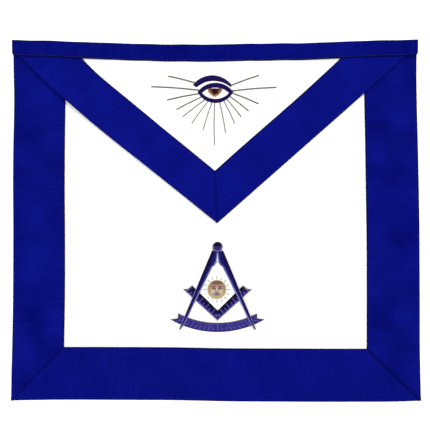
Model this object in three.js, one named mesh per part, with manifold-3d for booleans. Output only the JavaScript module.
// A masonic apron lying flat with its face up.
// Millimetres, +Z up, +X to the right and +Y towards the waistband.
// The origin is under the middle of the apron, on the surface that it lies on.
import * as THREE from 'three';
import { mergeVertices } from 'three/addons/utils/BufferGeometryUtils.js';
import Module from 'manifold-3d';

// Driving sizes of the body.
const apronWidth = 406.5;
const apronHeight = 358.8;
const leatherThickness = 1.3;
const ribbonThickness = 1;
const clearance = 0.3;
const foldBevel = 0.6;

// Ribbons that bind the two sides and the bottom, each turned under at the back.
const leftRibbonWidth = 52;
const rightRibbonWidth = 53.2;
const bottomRibbonWidth = 52.8;
const hemWidth = 10;

// Waistband, folded over the top edge, and how far it grips the ribbons' ends.
const bandHeight = 16;
const bandBelly = 1.4;
const bandOverhang = 1.2;
const bandCornerRadius = 3;
const ribbonGrip = 4;
const bandStepWidth = 25;

// Flap: the depth of its tip below the top edge, and the tip's place right of the middle.
const flapDepth = 182.1;
const flapTipOffset = 0.9;
const flapSettleWidth = 45;

// How far below the waistband its sag still draws the flap down.
const sagReach = 100;

// How high the free edges stand off the surface and off what lies under them.
const edgeLift = 1.3;
const edgeLiftDepth = 60;
const flapLift = 2;
const flapLiftDepth = 60;
const flapHold = 38;

// Embroidery: the height of its padding, and the higher legs of the compasses.
const threadHeight = 1;
const legHeight = 2.4;

// Eye, placed by its depth below the top edge.
const eyeDepth = 51.8;
const eyeOffset = -0.6;
const lidWidth = 34.8;
const lidUpperArch = 8.8;
const lidLowerArch = 10.7;
const openingWidth = 26.6;
const openingUpperArch = 5.7;
const openingLowerArch = 6.4;
const openingDrop = 1.1;
const browWidth = 37.5;
const browArch = 9.2;
const browInnerWidth = 34.2;
const browInnerArch = 6.2;
const browRise = 7;
const browThickness = 2.3;
const browOffset = -3.2;
const irisRadius = 7.2;
const irisRise = 2.4;
const irisOffset = -0.5;
const pupilRadius = 2.6;
const pupilDrop = 1.4;
const longestRay = 64.2;
const rayWidth = 1.1;
const rayTipWidth = 0.7;
const rayGap = 0.8;
const rayCentreDrop = 1.2;

// Compasses, measured from the pivot of their head.
const emblemOffset = 1.5;
const emblemMargin = 16.5;
const headRadius = 5;
const headHeight = 3;
const headRimWidth = 1.6;
const headHollow = 0.5;
const legRootOut = 5.5;
const legRootDrop = 3.6;
const legTipOut = 38.1;
const legTipDrop = 81.7;
const legWidth = 8.6;

// Square, an open angle with notched ends, under the legs.
const squareInnerDrop = 62.9;
const squareOuterDrop = 73.2;
const squareInnerLength = 35.5;
const squareInnerAngle = 44.5;
const squareOuterLength = 46.6;
const squareOuterAngle = 42.4;
const notchDepth = 1.9;

// Quadrant, a ribbon of an arc with notched ends, under the legs.
const arcOuterRadius = 93.7;
const arcInnerRadius = 84.6;
const arcCentreRise = 9.4;
const arcOuterAngle = 30;
const arcInnerAngle = 27.5;
const arcNotchAngle = 1.4;

// Sun inside the compasses.
const sunDrop = 42.2;
const sunOffset = -0.7;
const sunRadius = 9.4;
const sunTipRadius = 13.2;
const sunDome = 0.9;
const sunSpikes = 16;

// Steps of the surfaces and curves.
const panelRows = 20;
const panelColumns = 22;
const flapRows = 18;
const flapColumns = 28;
const borderStations = 24;
const bottomStations = 28;
const bandStations = 34;
const curveSteps = 15;
const roundSteps = 24;
const stepsPerSpike = 4;

// Inward curve of the left and right edges, as shares of the apron's width.
// along runs from the bottom edge, 0, to the top edge, 1.
const sideCurves = [
  { along: 0, left: 0, right: 0 },
  { along: 0.08, left: 0.0011, right: 0.0017 },
  { along: 0.16, left: 0.0029, right: 0.0029 },
  { along: 0.29, left: 0.0051, right: 0.0032 },
  { along: 0.45, left: 0.0055, right: 0.0037 },
  { along: 0.58, left: 0.0049, right: 0.0056 },
  { along: 0.7, left: 0.0056, right: 0.0074 },
  { along: 0.83, left: 0.0075, right: 0.0102 },
  { along: 0.91, left: 0.0064, right: 0.011 },
  { along: 1, left: 0.0052, right: 0.0102 },
];

// Upward curve of the bottom edge and downward sag of the waistband, as shares of the apron's height.
// across runs from the left edge, 0, to the right edge, 1.
const endCurves = [
  { across: 0, rise: 0.0036, sag: 0.0006 },
  { across: 0.1, rise: 0.0055, sag: 0.0039 },
  { across: 0.25, rise: 0.0055, sag: 0.0093 },
  { across: 0.38, rise: 0.0047, sag: 0.0123 },
  { across: 0.45, rise: 0.0032, sag: 0.0129 },
  { across: 0.53, rise: 0.0013, sag: 0.0119 },
  { across: 0.65, rise: 0.0007, sag: 0.0101 },
  { across: 0.75, rise: 0.0001, sag: 0.0088 },
  { across: 0.83, rise: 0, sag: 0.0048 },
  { across: 0.93, rise: 0.0003, sag: 0.0019 },
  { across: 1, rise: 0.0029, sag: 0 },
];

// Places where the bound edges stand off the surface: along and reach are shares of the edge's
// length, and height is a share of edgeLift.
const edgeLifts = [
  { edge: 'left', along: 0.34, reach: 0.2, height: 1 },
  { edge: 'left', along: 0.66, reach: 0.12, height: 0.5 },
  { edge: 'right', along: 0.26, reach: 0.16, height: 0.6 },
  { edge: 'right', along: 0.56, reach: 0.18, height: 1 },
  { edge: 'bottom', along: 0.28, reach: 0.15, height: 0.8 },
  { edge: 'bottom', along: 0.68, reach: 0.2, height: 1 },
];

// Legs of the flap: the angle of each one below the waistband, the width of its ribbon, and the
// inward curve of the ribbon's two edges as shares of that width, from the tip, 0, to the waistband, 1.
const flapLegs = {
  left: {
    side: -1,
    angle: 38.5,
    width: 39.6,
    curve: [
      { along: 0, outer: 0, inner: 0 },
      { along: 0.32, outer: 0, inner: 0.02 },
      { along: 0.5, outer: -0.008, inner: 0.05 },
      { along: 0.67, outer: 0.02, inner: 0.076 },
      { along: 0.85, outer: 0.085, inner: 0.103 },
      { along: 1, outer: 0.165, inner: 0.17 },
    ],
  },
  right: {
    side: 1,
    angle: 41.3,
    width: 40.3,
    curve: [
      { along: 0, outer: 0, inner: 0 },
      { along: 0.42, outer: -0.017, inner: 0.012 },
      { along: 0.6, outer: -0.018, inner: 0.02 },
      { along: 0.79, outer: -0.027, inner: 0.033 },
      { along: 1, outer: -0.05, inner: 0.037 },
    ],
  },
};

// Places where the flap's edge stands off the ribbon or leather under it, as in edgeLifts.
const flapLifts = [
  { leg: 'left', along: 0.75, reach: 0.21, height: 1 },
  { leg: 'left', along: 0.4, reach: 0.22, height: 0.25 },
  { leg: 'right', along: 0.7, reach: 0.25, height: 0.3 },
];

// Rays of the eye: root and tip are bearings in degrees round the lids and round the eye's centre,
// start is the root's distance as a share of the lids' outline, and reach is a share of longestRay.
const eyeRays = [
  { root: 141, start: 1.47, tip: 160.3, reach: 0.778 },
  { root: 164.6, start: 1, tip: 174.3, reach: 1 },
  { root: 184.1, start: 1, tip: 188.2, reach: 0.758 },
  { root: 205.9, start: 1, tip: 203, reach: 0.658 },
  { root: 226.3, start: 1, tip: 216, reach: 0.63 },
  { root: 241.4, start: 1, tip: 232.1, reach: 0.6 },
  { root: 257, start: 1, tip: 251.5, reach: 0.612 },
  { root: 267.5, start: 1, tip: 269, reach: 0.81 },
  { root: 284.9, start: 1, tip: 284.2, reach: 0.64 },
  { root: 301.4, start: 1, tip: 302.2, reach: 0.56 },
  { root: 315.9, start: 1, tip: 317.2, reach: 0.542 },
  { root: 335, start: 1, tip: 331.6, reach: 0.587 },
  { root: 358, start: 1, tip: 346, reach: 0.692 },
  { root: 12, start: 1, tip: 5.3, reach: 0.948 },
  { root: 38, start: 1.2, tip: 22.1, reach: 0.73 },
];

// Width of a compass leg along its length, as shares of legWidth, with the knuckle near the head.
const legWidths = [
  { along: 0, width: 0.64 },
  { along: 0.03, width: 0.72 },
  { along: 0.12, width: 1 },
  { along: 0.17, width: 0.95 },
  { along: 0.19, width: 0.86 },
  { along: 0.2, width: 0.74 },
  { along: 0.35, width: 0.63 },
  { along: 0.5, width: 0.53 },
  { along: 0.63, width: 0.42 },
  { along: 0.88, width: 0.33 },
  { along: 1, width: 0.19 },
];

// Levels that follow from the thicknesses.
const panelBottom = ribbonThickness + clearance;
const panelTop = panelBottom + leatherThickness;
const ribbonUnder = panelTop + clearance;
const ribbonTop = ribbonUnder + ribbonThickness;
const overlay = ribbonThickness + clearance;
const edgeInset = ribbonThickness + clearance;

// Lines that follow from the driving sizes, in the flat pattern.
const halfWidth = apronWidth / 2;
const halfHeight = apronHeight / 2;
const leftInnerEdge = leftRibbonWidth - halfWidth;
const rightInnerEdge = halfWidth - rightRibbonWidth;
const bottomInnerEdge = bottomRibbonWidth - halfHeight;
const bandLowerEdge = halfHeight - bandHeight;
const gripLine = bandLowerEdge + ribbonGrip;
const foldLine = halfHeight - edgeInset;
const bandBackHeight = bandHeight - ribbonGrip - clearance;

const toRadians = THREE.MathUtils.degToRad;
const lerp = THREE.MathUtils.lerp;
const smoothstep = THREE.MathUtils.smoothstep;

// Value of a column between a table's rows, on a smooth curve through them.
function readTable(rows, key, column, at) {
  const last = rows.length - 1;
  const place = THREE.MathUtils.clamp(at, rows[0][key], rows[last][key]);
  const found = rows.findIndex((row) => row[key] >= place);
  const i = Math.max(found, 1) - 1;
  const slopeAt = (j) => {
    const before = rows[Math.max(j - 1, 0)];
    const after = rows[Math.min(j + 1, last)];
    return (after[column] - before[column]) / (after[key] - before[key]);
  };
  const span = rows[i + 1][key] - rows[i][key];
  const s = (place - rows[i][key]) / span;
  const start = rows[i][column] * (1 + 2 * s) * (1 - s) ** 2;
  const end = rows[i + 1][column] * (3 - 2 * s) * s ** 2;
  const leaving = slopeAt(i) * span * s * (1 - s) ** 2;
  const arriving = slopeAt(i + 1) * span * s ** 2 * (s - 1);
  return start + end + leaving + arriving;
}

// A soft hump, 1 at its middle and 0 from its reach outwards.
function hump(distance, reach) {
  const share = Math.min(Math.abs(distance) / reach, 1);
  return Math.cos((share * Math.PI) / 2) ** 2;
}

// Where a point of the flat pattern lies once the edges have their slight curves.
function settle(x, y) {
  const across = x / apronWidth + 0.5;
  const along = y / apronHeight + 0.5;
  const left = readTable(sideCurves, 'along', 'left', along) * apronWidth;
  const right = readTable(sideCurves, 'along', 'right', along) * apronWidth;
  const rise = readTable(endCurves, 'across', 'rise', across) * apronHeight;
  const sag = readTable(endCurves, 'across', 'sag', across) * apronHeight;
  const pull = smoothstep(y, bandLowerEdge - sagReach, bandLowerEdge);
  return {
    x: x + left * (1 - across) - right * across,
    y: y + rise * (1 - along) - sag * pull,
  };
}

// Height that the apron's edges are lifted by at a point of the pattern.
function liftAt(x, y) {
  const fromEdge = { left: x + halfWidth, right: halfWidth - x, bottom: y + halfHeight };
  const alongEdge = {
    left: y / apronHeight + 0.5,
    right: y / apronHeight + 0.5,
    bottom: x / apronWidth + 0.5,
  };
  return edgeLifts.reduce((total, row) => {
    const fade = 1 - smoothstep(fromEdge[row.edge], 0, edgeLiftDepth);
    return total + edgeLift * row.height * fade * hump(alongEdge[row.edge] - row.along, row.reach);
  }, 0);
}

// The flap's tip, and for each leg its direction up from the tip and its inward direction.
const flapTip = { x: flapTipOffset, y: halfHeight - flapDepth };
for (const leg of Object.values(flapLegs)) {
  const angle = toRadians(leg.angle);
  leg.along = { x: leg.side * Math.cos(angle), y: Math.sin(angle) };
  leg.inward = { x: -leg.side * Math.sin(angle), y: Math.cos(angle) };
}

// The inner corner of the mitre, where the inner edges of the two ribbons meet.
function findInnerTip() {
  const { left, right } = flapLegs;
  const turn = left.inward.x * right.inward.y - left.inward.y * right.inward.x;
  const x = (left.width * right.inward.y - right.width * left.inward.y) / turn;
  const y = (left.inward.x * right.width - right.inward.x * left.width) / turn;
  return { x: flapTip.x + x, y: flapTip.y + y };
}
const innerTip = findInnerTip();

// A point of a flap leg: inward is the distance from its outer edge and along runs from the tip to
// the line where the waistband grips it.
function flapPoint(leg, inward, along) {
  const edgePoint = (tip, column) => {
    const bend = readTable(leg.curve, 'along', column, along) * leg.width;
    const fullBend = readTable(leg.curve, 'along', column, 1) * leg.width;
    const length = (gripLine - tip.y - fullBend * leg.inward.y) / leg.along.y;
    return {
      x: tip.x + leg.along.x * length * along + leg.inward.x * bend,
      y: tip.y + leg.along.y * length * along + leg.inward.y * bend,
    };
  };
  const outer = edgePoint(flapTip, 'outer');
  const inner = edgePoint(innerTip, 'inner');
  const share = inward / leg.width;
  return { x: lerp(outer.x, inner.x, share), y: lerp(outer.y, inner.y, share) };
}

// Share of the side ribbons' thickness that the flap still rides on at a point.
function overSideRibbon(x) {
  const toLeft = 1 - smoothstep(x, leftInnerEdge, leftInnerEdge + flapSettleWidth);
  const toRight = smoothstep(x, rightInnerEdge - flapSettleWidth, rightInnerEdge);
  return toLeft + toRight;
}

// Height of the flap's underside at a point of the pattern.
function flapUnder(x, y) {
  const lifted = flapLifts.reduce((total, row) => {
    const leg = flapLegs[row.leg];
    const offset = { x: x - flapTip.x, y: y - flapTip.y };
    const inward = offset.x * leg.inward.x + offset.y * leg.inward.y;
    const length = (gripLine - flapTip.y) / leg.along.y;
    const along = (offset.x * leg.along.x + offset.y * leg.along.y) / length;
    const fade = 1 - smoothstep(inward, 0, flapLiftDepth);
    const free = 1 - smoothstep(y, bandLowerEdge - flapHold, bandLowerEdge);
    return total + flapLift * row.height * fade * free * hump(along - row.along, row.reach);
  }, 0);
  return panelTop + clearance + overlay * overSideRibbon(x) + lifted;
}

// Height of the underside of the waistband's front leaf, over the flap and its ribbons' ends.
function bandUnder(x) {
  const leftEnd = flapPoint(flapLegs.left, flapLegs.left.width, 1).x + bandStepWidth;
  const rightEnd = flapPoint(flapLegs.right, flapLegs.right.width, 1).x - bandStepWidth;
  const onLeft = 1 - smoothstep(x, leftEnd, leftEnd + bandStepWidth);
  const onRight = smoothstep(x, rightEnd - bandStepWidth, rightEnd);
  const flapTop = panelTop + clearance + overlay * overSideRibbon(x) + leatherThickness;
  return flapTop + clearance + overlay * (onLeft + onRight);
}

// A closed geometry from corner points and triangles, turned so that its faces point out.
function closedGeometry(points, triangles) {
  const volume = triangles.reduce((total, [a, b, c]) => {
    const cross = new THREE.Vector3().crossVectors(points[b], points[c]);
    return total + points[a].dot(cross);
  }, 0);
  const faces = volume < 0 ? triangles.map(([a, b, c]) => [a, c, b]) : triangles;
  const geometry = new THREE.BufferGeometry().setFromPoints(points);
  geometry.setIndex(faces.flat());
  geometry.computeVertexNormals();
  return geometry;
}

// A wall through a run of closed rings, with its two ends closed by the ring's flat outline.
function loft(rings, outline) {
  const size = rings[0].length;
  const triangles = [];
  for (let i = 0; i < rings.length - 1; i += 1) {
    for (let j = 0; j < size; j += 1) {
      const next = (j + 1) % size;
      const here = i * size;
      const there = here + size;
      triangles.push([here + j, here + next, there + next]);
      triangles.push([here + j, there + next, there + j]);
    }
  }
  const lastRing = (rings.length - 1) * size;
  const clockwise = THREE.ShapeUtils.isClockWise(outline);
  for (const face of THREE.ShapeUtils.triangulateShape(outline, [])) {
    const [a, b, c] = clockwise ? face.reverse() : face;
    triangles.push([a, c, b]);
    triangles.push([lastRing + a, lastRing + b, lastRing + c]);
  }
  return closedGeometry(rings.flat(), triangles);
}

// A sheet of leather between rows of left and right ends, with a height for its two faces.
function sheet(rows, columns, under, thickness) {
  const grid = rows.map(([left, right]) => columns.map((share) => ({
    x: lerp(left.x, right.x, share),
    y: lerp(left.y, right.y, share),
  })));
  const layer = (thick) => grid.flat().map(({ x, y }) => {
    const place = settle(x, y);
    return new THREE.Vector3(place.x, place.y, under(x, y) + thick);
  });
  const points = [...layer(0), ...layer(thickness)];
  const wide = columns.length;
  const count = rows.length * wide;
  const triangles = [];
  const addQuad = (a, b, c, d) => triangles.push([a, b, c], [a, c, d]);
  for (let i = 0; i < rows.length - 1; i += 1) {
    for (let j = 0; j < wide - 1; j += 1) {
      const a = i * wide + j;
      addQuad(a, a + wide, a + wide + 1, a + 1);
      addQuad(count + a, count + a + 1, count + a + wide + 1, count + a + wide);
    }
    const left = i * wide;
    const right = left + wide - 1;
    addQuad(left, count + left, count + left + wide, left + wide);
    addQuad(right, right + wide, count + right + wide, count + right);
  }
  for (let j = 0; j < wide - 1; j += 1) {
    const last = (rows.length - 1) * wide + j;
    addQuad(j, j + 1, count + j + 1, count + j);
    addQuad(last, count + last, count + last + 1, last + 1);
  }
  return closedGeometry(points, triangles);
}

// Shares from 0 to 1 in even steps, with their number rounded to a whole one.
function evenShares(steps) {
  const count = Math.round(steps);
  return Array.from({ length: count + 1 }, (_, i) => i / count);
}

// A ribbon carried along a border: place gives the pattern point for a distance inwards and a share
// along, and under gives the height of the level that the section's heights start from.
function ribbon(section, place, under, stations) {
  const rings = evenShares(stations).map((along) => section.map(([inward, height]) => {
    const { x, y } = place(inward, along);
    const settled = settle(x, y);
    return new THREE.Vector3(settled.x, settled.y, under(x, y) + height);
  }));
  return loft(rings, section.map(([inward, height]) => new THREE.Vector2(inward, height)));
}

// Section of a border ribbon: a leaf on the face, the fold round the leather, and the hem behind.
function foldedSection(width) {
  const quarter = width / 4;
  return [
    [hemWidth, 0],
    [foldBevel, 0],
    [0, foldBevel],
    [0, ribbonTop - foldBevel],
    [foldBevel, ribbonTop],
    [quarter, ribbonTop],
    [2 * quarter, ribbonTop],
    [3 * quarter, ribbonTop],
    [width, ribbonTop],
    [width, ribbonUnder],
    [3 * quarter, ribbonUnder],
    [2 * quarter, ribbonUnder],
    [quarter, ribbonUnder],
    [ribbonThickness, ribbonUnder],
    [ribbonThickness, ribbonThickness],
    [hemWidth, ribbonThickness],
  ];
}

// Section of a flap ribbon: a leaf on the face and a lip that covers the leather's cut edge.
function lippedSection(width) {
  const quarter = width / 4;
  const leafUnder = leatherThickness + clearance;
  const leafTop = leafUnder + ribbonThickness;
  return [
    [0, 0],
    [0, leafTop - foldBevel],
    [foldBevel, leafTop],
    [quarter, leafTop],
    [2 * quarter, leafTop],
    [3 * quarter, leafTop],
    [width, leafTop],
    [width, leafUnder],
    [3 * quarter, leafUnder],
    [2 * quarter, leafUnder],
    [quarter, leafUnder],
    [ribbonThickness, leafUnder],
    [ribbonThickness, 0],
  ];
}

// The point between two points at a share of the way.
function between(from, to, share) {
  return { x: lerp(from.x, to.x, share), y: lerp(from.y, to.y, share) };
}

// A border ribbon between its two ends, each with an outer and an inner corner.
function makeBorder(width, start, end, stations) {
  const place = (inward, along) => {
    const from = between(start.outer, start.inner, inward / width);
    const to = between(end.outer, end.inner, inward / width);
    return between(from, to, along);
  };
  return ribbon(foldedSection(width), place, liftAt, stations);
}

// A side border, mitred at the bottom and square under the waistband.
// side is -1 for the left one and 1 for the right one.
function makeSideBorder(side, width, innerEdge) {
  const start = {
    outer: { x: side * halfWidth, y: clearance - halfHeight },
    inner: { x: innerEdge, y: bottomInnerEdge + clearance },
  };
  const end = { outer: { x: side * halfWidth, y: gripLine }, inner: { x: innerEdge, y: gripLine } };
  return makeBorder(width, start, end, borderStations);
}

// The bottom border, mitred at both ends and kept clear of the side borders.
function makeBottomBorder() {
  const start = {
    outer: { x: clearance - halfWidth, y: -halfHeight },
    inner: { x: leftInnerEdge + clearance, y: bottomInnerEdge },
  };
  const end = {
    outer: { x: halfWidth - clearance, y: -halfHeight },
    inner: { x: rightInnerEdge - clearance, y: bottomInnerEdge },
  };
  return makeBorder(bottomRibbonWidth, start, end, bottomStations);
}

function makeApronPanel() {
  const left = edgeInset - halfWidth;
  const right = halfWidth - edgeInset;
  const rows = evenShares(panelRows).map((share) => {
    const y = lerp(edgeInset - halfHeight, foldLine, share);
    return [{ x: left, y }, { x: right, y }];
  });
  const under = (x, y) => panelBottom + liftAt(x, y);
  return sheet(rows, evenShares(panelColumns), under, leatherThickness);
}

function makeFlapPanel() {
  const tipShare = 0.01;
  const rows = evenShares(flapRows).map((share) => {
    const along = lerp(tipShare, 1, share);
    return [flapPoint(flapLegs.left, edgeInset, along), flapPoint(flapLegs.right, edgeInset, along)];
  });
  const [left, right] = rows[rows.length - 1];
  rows.push([{ x: left.x, y: foldLine }, { x: right.x, y: foldLine }]);
  return sheet(rows, evenShares(flapColumns), flapUnder, leatherThickness);
}

function makeFlapBorder(leg) {
  const halfGap = clearance / 2;
  const place = (inward, along) => {
    const point = flapPoint(leg, inward, along);
    return { x: point.x + leg.side * halfGap, y: point.y };
  };
  return ribbon(lippedSection(leg.width), place, flapUnder, borderStations);
}

// The waistband: a back leaf, a rounded fold over the top edge and a front leaf, with the front
// leaf's lower corners rounded at both ends.
function makeWaistband() {
  const left = -halfWidth - bandOverhang;
  const right = halfWidth + bandOverhang;
  const sectionAt = (x) => {
    const fromEnd = Math.min(x - left, right - x, bandCornerRadius);
    const toArc = bandCornerRadius - fromEnd;
    const corner = bandCornerRadius - Math.sqrt(bandCornerRadius ** 2 - toArc ** 2);
    const across = THREE.MathUtils.clamp(x / apronWidth + 0.5, 0, 1);
    const front = bandHeight + bandBelly * Math.sin(Math.PI * across) - corner;
    const under = bandUnder(x);
    const top = under + ribbonThickness;
    return [
      [bandBackHeight, 0],
      [2 * foldBevel, 0],
      [0.5 * foldBevel, 0.5 * foldBevel],
      [0, 2 * foldBevel],
      [0, top - 2 * foldBevel],
      [0.5 * foldBevel, top - 0.5 * foldBevel],
      [2 * foldBevel, top],
      [front, top],
      [front, under],
      [ribbonThickness, under],
      [ribbonThickness, ribbonThickness],
      [bandBackHeight, ribbonThickness],
    ];
  };
  const cornerShares = [0, 0.15, 0.5, 1];
  const leftCorner = cornerShares.map((share) => left + share * bandCornerRadius);
  const rightCorner = cornerShares.map((share) => right - share * bandCornerRadius).reverse();
  const middle = evenShares(bandStations).slice(1, -1).map((share) => lerp(leftCorner[3], rightCorner[0], share));
  const rings = [...leftCorner, ...middle, ...rightCorner].map((x) => sectionAt(x).map(([down, height]) => {
    const place = settle(x, halfHeight - down);
    return new THREE.Vector3(place.x, place.y, height);
  }));
  return loft(rings, sectionAt(0).map(([down, height]) => new THREE.Vector2(down, height)));
}

// A flat outline raised from one level by a height. Its holes run the other way round.
function raised(points, level, height, holes = []) {
  const shape = new THREE.Shape(points);
  shape.holes = holes.map((hole) => new THREE.Path([...hole].reverse()));
  const geometry = new THREE.ExtrudeGeometry(shape, { depth: height, bevelEnabled: false });
  return geometry.translate(0, 0, level);
}

// Points of the arch over a chord between two ends: sagitta is its height, below the chord if negative.
function arch(centre, width, sagitta) {
  const radius = (width ** 2 / 4 + sagitta ** 2) / (2 * Math.abs(sagitta));
  const half = Math.asin(width / 2 / radius);
  const up = Math.sign(sagitta);
  return evenShares(curveSteps).map((share) => {
    const turn = lerp(-half, half, share);
    const height = radius * Math.cos(turn) - radius + Math.abs(sagitta);
    return new THREE.Vector2(centre.x + radius * Math.sin(turn), centre.y + up * height);
  });
}

// A closed almond of an upper and a lower arch.
function almond(centre, width, upperArch, lowerArch) {
  const upper = arch(centre, width, upperArch);
  const lower = arch(centre, width, -lowerArch).reverse();
  return [...upper, ...lower.slice(1, -1)];
}

const flapFace = panelTop + clearance + leatherThickness;
const eyeLevel = flapFace + clearance;
const eyeCentre = new THREE.Vector2(eyeOffset, halfHeight - eyeDepth);


function makeEyeLids() {
  const openingCentre = eyeCentre.clone().add(new THREE.Vector2(0, -openingDrop));
  const outline = almond(eyeCentre, lidWidth, lidUpperArch, lidLowerArch);
  const opening = almond(openingCentre, openingWidth, openingUpperArch, openingLowerArch);
  return raised(outline, eyeLevel, threadHeight, [opening]);
}

function makeEyeBrow() {
  const outerCentre = eyeCentre.clone().add(new THREE.Vector2(browOffset, browRise));
  const innerCentre = outerCentre.clone().add(new THREE.Vector2((browWidth - browInnerWidth) / 2, -browThickness));
  const outer = arch(outerCentre, browWidth, browArch);
  const inner = arch(innerCentre, browInnerWidth, browInnerArch).reverse();
  return raised([...outer, ...inner], eyeLevel, threadHeight);
}

function makeEyeIris() {
  const centre = eyeCentre.clone().add(new THREE.Vector2(irisOffset, irisRise));
  const outline = evenShares(curveSteps).map((share) => {
    const turn = lerp(Math.PI, 2 * Math.PI, share);
    return new THREE.Vector2(centre.x + irisRadius * Math.cos(turn), centre.y + irisRadius * Math.sin(turn));
  });
  return raised(outline, eyeLevel, threadHeight);
}

function makeEyePupil() {
  const geometry = new THREE.CylinderGeometry(pupilRadius, pupilRadius, threadHeight, roundSteps);
  geometry.rotateX(Math.PI / 2);
  const level = eyeLevel + threadHeight + clearance + threadHeight / 2;
  return geometry.translate(eyeCentre.x + irisOffset, eyeCentre.y + irisRise - pupilDrop, level);
}

function makeEyeRay({ root, start, tip, reach }) {
  const rayCentre = eyeCentre.clone().add(new THREE.Vector2(0, -rayCentreDrop));
  const rootTurn = toRadians(root);
  const tipTurn = toRadians(tip);
  const rootPoint = new THREE.Vector2(
    (lidWidth / 2 + rayGap) * start * Math.cos(rootTurn),
    (lidLowerArch + rayGap) * start * Math.sin(rootTurn),
  );
  const tipPoint = new THREE.Vector2(Math.cos(tipTurn), Math.sin(tipTurn)).multiplyScalar(longestRay * reach);
  const side = tipPoint.clone().sub(rootPoint).normalize().rotateAround(new THREE.Vector2(), Math.PI / 2);
  const outline = [
    rootPoint.clone().addScaledVector(side, -rayWidth / 2),
    tipPoint.clone().addScaledVector(side, -rayTipWidth / 2),
    tipPoint.clone().addScaledVector(side, rayTipWidth / 2),
    rootPoint.clone().addScaledVector(side, rayWidth / 2),
  ].map((point) => point.add(rayCentre));
  return raised(outline, eyeLevel, threadHeight);
}

const emblemLevel = panelTop + clearance;
const pivot = new THREE.Vector2(
  emblemOffset,
  bottomInnerEdge + emblemMargin + arcOuterRadius - arcCentreRise,
);

// The same outline moved outwards by a distance, each corner kept sharp.
function grown(points, distance) {
  const sharpest = 0.3;
  const turning = THREE.ShapeUtils.isClockWise(points) ? -1 : 1;
  return points.map((point, i) => {
    const before = points[(i + points.length - 1) % points.length];
    const after = points[(i + 1) % points.length];
    const arriving = point.clone().sub(before).normalize();
    const leaving = after.clone().sub(point).normalize();
    const outA = new THREE.Vector2(arriving.y, -arriving.x).multiplyScalar(turning);
    const outB = new THREE.Vector2(leaving.y, -leaving.x).multiplyScalar(turning);
    const outward = outA.clone().add(outB).normalize();
    return point.clone().addScaledVector(outward, distance / Math.max(outward.dot(outA), sharpest));
  });
}

function squareOutline() {
  const inner = new THREE.Vector2(0, -squareInnerDrop);
  const outer = new THREE.Vector2(0, -squareOuterDrop);
  const innerTurn = toRadians(squareInnerAngle);
  const outerTurn = toRadians(squareOuterAngle);
  const innerEnd = new THREE.Vector2(Math.cos(innerTurn), Math.sin(innerTurn));
  innerEnd.multiplyScalar(squareInnerLength).add(inner);
  const outerEnd = new THREE.Vector2(Math.cos(outerTurn), Math.sin(outerTurn));
  outerEnd.multiplyScalar(squareOuterLength).add(outer);
  const notch = innerEnd.clone().lerp(outerEnd, 0.5);
  notch.y -= notchDepth;
  const rightArm = [outer, outerEnd, notch, innerEnd, inner];
  const leftArm = [innerEnd, notch, outerEnd].map((point) => new THREE.Vector2(-point.x, point.y));
  return [...rightArm, ...leftArm].map((point) => point.clone().add(pivot));
}

function quadrantOutline() {
  const centre = pivot.clone().add(new THREE.Vector2(0, arcCentreRise));
  const at = (radius, degrees) => {
    const turn = toRadians(degrees);
    return new THREE.Vector2(centre.x + radius * Math.sin(turn), centre.y - radius * Math.cos(turn));
  };
  const middleRadius = (arcOuterRadius + arcInnerRadius) / 2;
  const notchTurn = arcInnerAngle - arcNotchAngle;
  const outer = evenShares(curveSteps).map((share) => at(arcOuterRadius, lerp(-arcOuterAngle, arcOuterAngle, share)));
  const inner = evenShares(curveSteps).map((share) => at(arcInnerRadius, lerp(arcInnerAngle, -arcInnerAngle, share)));
  return [...outer, at(middleRadius, notchTurn), ...inner, at(middleRadius, -notchTurn)];
}

function headOutline() {
  return evenShares(roundSteps).slice(0, -1).map((share) => {
    const turn = share * 2 * Math.PI;
    return new THREE.Vector2(pivot.x + headRadius * Math.cos(turn), pivot.y + headRadius * Math.sin(turn));
  });
}

function legOutline(side) {
  const outer = [];
  const inner = [];
  for (const { along, width } of legWidths) {
    const out = lerp(legRootOut, legTipOut, along);
    const drop = lerp(legRootDrop, legTipDrop, along);
    outer.push(new THREE.Vector2(pivot.x + side * out, pivot.y - drop));
    inner.push(new THREE.Vector2(pivot.x + side * (out - width * legWidth), pivot.y - drop));
  }
  return [...outer, ...inner.reverse()];
}

const wasm = await Module();
wasm.setup();

// A solid for cutting, from a closed geometry.
function toSolid(geometry) {
  const bare = geometry.clone();
  bare.deleteAttribute('normal');
  bare.deleteAttribute('uv');
  const merged = mergeVertices(bare);
  return new wasm.Manifold(new wasm.Mesh({
    numProp: 3,
    vertProperties: new Float32Array(merged.attributes.position.array),
    triVerts: new Uint32Array(merged.index.array),
  }));
}

// A geometry from a cut solid.
function fromSolid(solid) {
  const mesh = solid.getMesh();
  const geometry = new THREE.BufferGeometry();
  geometry.setAttribute('position', new THREE.BufferAttribute(new Float32Array(mesh.vertProperties), 3));
  geometry.setIndex(new THREE.BufferAttribute(new Uint32Array(mesh.triVerts), 1));
  geometry.computeVertexNormals();
  return geometry;
}

// A compass leg, bridging the square and the quadrant and stopping round the head.
function makeCompassLeg(side) {
  const below = emblemLevel - clearance;
  const bridged = threadHeight + 2 * clearance;
  const leg = toSolid(raised(legOutline(side), emblemLevel, legHeight));
  const cuts = [
    raised(grown(squareOutline(), clearance), below, bridged),
    raised(grown(quadrantOutline(), clearance), below, bridged),
    raised(grown(headOutline(), clearance), below, legHeight + 2 * clearance),
  ];
  return fromSolid(cuts.reduce((solid, cut) => solid.subtract(toSolid(cut)), leg));
}

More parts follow.
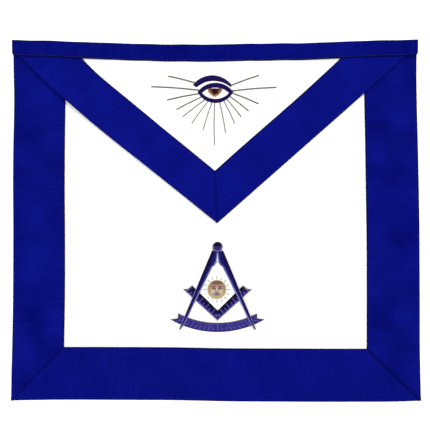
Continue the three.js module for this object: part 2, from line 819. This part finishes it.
// The head of the compasses: a round button with a raised rim and a low dome inside it.
function makeCompassHead() {
  const profile = [
    new THREE.Vector2(0, 0),
    new THREE.Vector2(headRadius, 0),
    new THREE.Vector2(headRadius, headHeight - headHollow),
    new THREE.Vector2(headRadius - headRimWidth / 3, headHeight),
    new THREE.Vector2(headRadius - headRimWidth, headHeight - headHollow),
    new THREE.Vector2(0, headHeight),
  ];
  const geometry = new THREE.LatheGeometry(profile, roundSteps);
  geometry.rotateX(Math.PI / 2);
  return geometry.translate(pivot.x, pivot.y, emblemLevel);
}

// The sun: a domed disc with a ring of pointed spikes, one outline stepped up in rings.
function makeSun() {
  const centre = { x: pivot.x + sunOffset, y: pivot.y - sunDrop };
  const turns = Math.round(sunSpikes) * stepsPerSpike;
  const steps = Array.from({ length: turns }, (_, i) => i);
  const outerAt = (i) => (i % stepsPerSpike === 0 ? sunTipRadius : sunRadius);
  const ring = (radiusAt, height) => steps.map((i) => {
    const turn = (i / turns) * 2 * Math.PI + Math.PI / 2;
    const radius = radiusAt(i);
    return new THREE.Vector3(
      centre.x + radius * Math.cos(turn),
      centre.y + radius * Math.sin(turn),
      emblemLevel + height,
    );
  });
  const domeAt = (share) => threadHeight + sunDome * Math.sqrt(1 - share ** 2);
  const rimShare = 0.97;
  const domeShares = [0.9, 0.65, 0.3];
  const rings = [
    ring(outerAt, 0),
    ring(outerAt, threadHeight),
    ring(() => sunRadius * rimShare, threadHeight),
    ...domeShares.map((share) => ring(() => sunRadius * share, domeAt(share))),
  ];
  const flatRing = rings[0].map((point) => new THREE.Vector2(point.x, point.y));
  return loft(rings, flatRing);
}

// Finishes, from the colours of the real apron.
const finishes = {
  leather: new THREE.MeshStandardMaterial({ color: 0xf6f5f2, roughness: 0.62, metalness: 0 }),
  ribbon: new THREE.MeshStandardMaterial({ color: 0x0b157e, roughness: 0.55, metalness: 0 }),
  navyThread: new THREE.MeshStandardMaterial({ color: 0x1c0f5c, roughness: 0.5, metalness: 0 }),
  violetThread: new THREE.MeshStandardMaterial({ color: 0x3a3799, roughness: 0.5, metalness: 0 }),
  goldThread: new THREE.MeshStandardMaterial({ color: 0xa88a5e, roughness: 0.4, metalness: 0.6 }),
  amberThread: new THREE.MeshStandardMaterial({ color: 0xb5722e, roughness: 0.45, metalness: 0 }),
  darkThread: new THREE.MeshStandardMaterial({ color: 0x2a0f22, roughness: 0.5, metalness: 0 }),
};

const apron = new THREE.Group();

function addPiece(name, geometry, finish) {
  const mesh = new THREE.Mesh(geometry, finishes[finish]);
  mesh.name = name;
  apron.add(mesh);
}

addPiece('apron_panel', makeApronPanel(), 'leather');
addPiece('side_border_left', makeSideBorder(-1, leftRibbonWidth, leftInnerEdge), 'ribbon');
addPiece('side_border_right', makeSideBorder(1, rightRibbonWidth, rightInnerEdge), 'ribbon');
addPiece('bottom_border', makeBottomBorder(), 'ribbon');
addPiece('flap_panel', makeFlapPanel(), 'leather');
addPiece('flap_border_left', makeFlapBorder(flapLegs.left), 'ribbon');
addPiece('flap_border_right', makeFlapBorder(flapLegs.right), 'ribbon');
addPiece('waistband', makeWaistband(), 'ribbon');
addPiece('eye_brow', makeEyeBrow(), 'navyThread');
addPiece('eye_lids', makeEyeLids(), 'navyThread');
addPiece('eye_iris', makeEyeIris(), 'amberThread');
addPiece('eye_pupil', makeEyePupil(), 'darkThread');
eyeRays.forEach((ray, i) => {
  const number = String(i + 1).padStart(2, '0');
  addPiece(`eye_ray_${number}`, makeEyeRay(ray), 'goldThread');
});
addPiece('compass_head', makeCompassHead(), 'navyThread');
addPiece('compass_leg_left', makeCompassLeg(-1), 'navyThread');
addPiece('compass_leg_right', makeCompassLeg(1), 'navyThread');
addPiece('square', raised(squareOutline(), emblemLevel, threadHeight), 'navyThread');
addPiece('quadrant', raised(quadrantOutline(), emblemLevel, threadHeight), 'violetThread');
addPiece('sun', makeSun(), 'goldThread');

export default apron;
